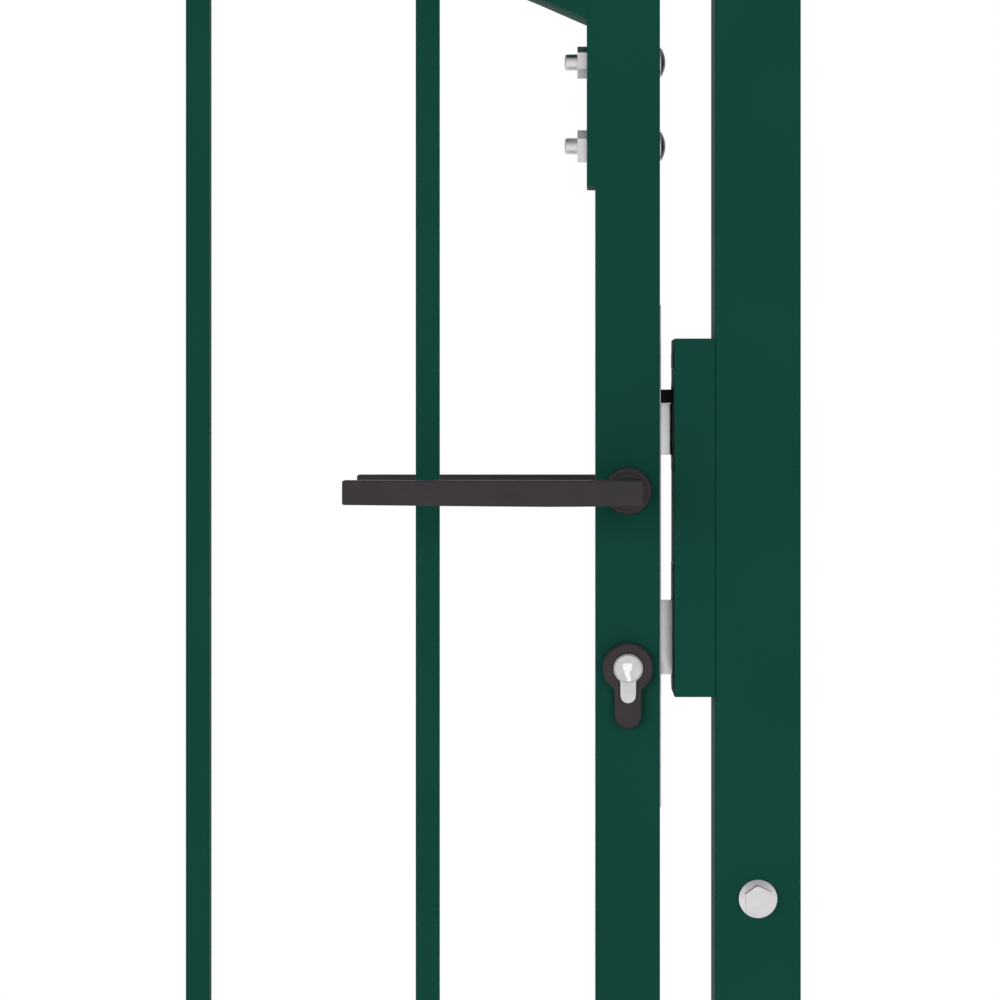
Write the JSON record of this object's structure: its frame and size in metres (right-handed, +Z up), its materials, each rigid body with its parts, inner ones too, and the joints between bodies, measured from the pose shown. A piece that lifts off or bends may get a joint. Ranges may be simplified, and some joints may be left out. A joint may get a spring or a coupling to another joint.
{
  "type": "swing fence gate",
  "caption": "Single-leaf steel fence gate with arched top, upright bars, two posts, lever lock and keep.",
  "frame": {"origin": "middle of the hinge post's foot, at ground level", "axes": "+X along the gate to the latch post, +Y away from the front, +Z up"},
  "size_m": [1.0344, 0.12, 1.253],
  "materials": {
    "green_coat": "powder coated dark green, satin",
    "zinc": "zinc plated",
    "lock_steel": "plain lock steel",
    "nickel": "satin nickel plate",
    "dark_coat": "dark grey satin coat",
    "black_plastic": "moulded black plastic"
  },
  "bodies": {
    "posts": {"hinge_post": "green_coat", "latch_post": "green_coat", "hinge_post_cap": "black_plastic", "latch_post_cap": "black_plastic", "hinge_post_bolt": "zinc", "latch_post_bolt": "zinc", "lower_hinge_pin": "zinc", "upper_hinge_pin": "zinc", "keep": "green_coat", "keep_insert": "black_plastic"},
    "leaf": {"hinge_stile": "green_coat", "lock_stile": "green_coat", "hinge_stile_cap": "black_plastic", "lock_stile_cap": "black_plastic", "top_rail": "green_coat", "bottom_rail": "green_coat", "top_hinge_plate": "green_coat", "top_lock_plate": "green_coat", "bottom_hinge_plate": "green_coat", "bottom_lock_plate": "green_coat", "top_hinge_bolts": "zinc", "top_lock_bolts": "zinc", "bottom_hinge_bolts": "zinc", "bottom_lock_bolts": "zinc", "bar_1": "green_coat", "bar_2": "green_coat", "bar_3": "green_coat", "bar_4": "green_coat", "bar_5": "green_coat", "bar_6": "green_coat", "bar_7": "green_coat", "lower_hinge_eye": "zinc", "upper_hinge_eye": "zinc", "lock_case": "zinc", "lock_faceplate": "lock_steel", "front_handle_rosette": "dark_coat", "rear_handle_rosette": "dark_coat", "front_cylinder_rosette": "dark_coat", "rear_cylinder_rosette": "dark_coat", "cylinder_body": "nickel"},
    "handle": {"front_lever": "dark_coat", "rear_lever": "dark_coat", "spindle": "zinc"},
    "latch": {"latch_bolt": "lock_steel", "latch_guide": "black_plastic"},
    "lock_bolt": {"dead_bolt": "lock_steel"},
    "plug": {"cylinder_plug": "nickel"}
  },
  "joints": [
    {"name": "leaf_swing", "type": "hinge", "parent": "posts", "child": "leaf", "pos_m": [0.045, 0, 0], "axis": [0, 0, 1], "range_deg": [0, 100]},
    {"name": "handle_turn", "type": "hinge", "parent": "leaf", "child": "handle", "pos_m": [0.921, 0, 0.9], "axis": [0, -1, 0], "range_deg": [0, 45], "stiffness_Nm_per_rad": 1.5, "springref_deg": -17.19},
    {"name": "latch_slide", "type": "slide", "parent": "leaf", "child": "latch", "axis": [1, 0, 0], "range_m": [-0.0135, 0]},
    {"name": "plug_turn", "type": "hinge", "parent": "leaf", "child": "plug", "pos_m": [0.921, 0, 0.8176], "axis": [0, -1, 0], "range_deg": [0, 360]},
    {"name": "dead_bolt_slide", "type": "slide", "parent": "leaf", "child": "lock_bolt", "axis": [1, 0, 0], "range_m": [-0.0078, 0]}
  ],
  "couplings": [
    {"joint": "latch_slide", "follows": "handle_turn", "m_per_rad": -0.017188},
    {"joint": "plug_turn", "follows": "dead_bolt_slide", "rad_per_m": -805.53}
  ]
}
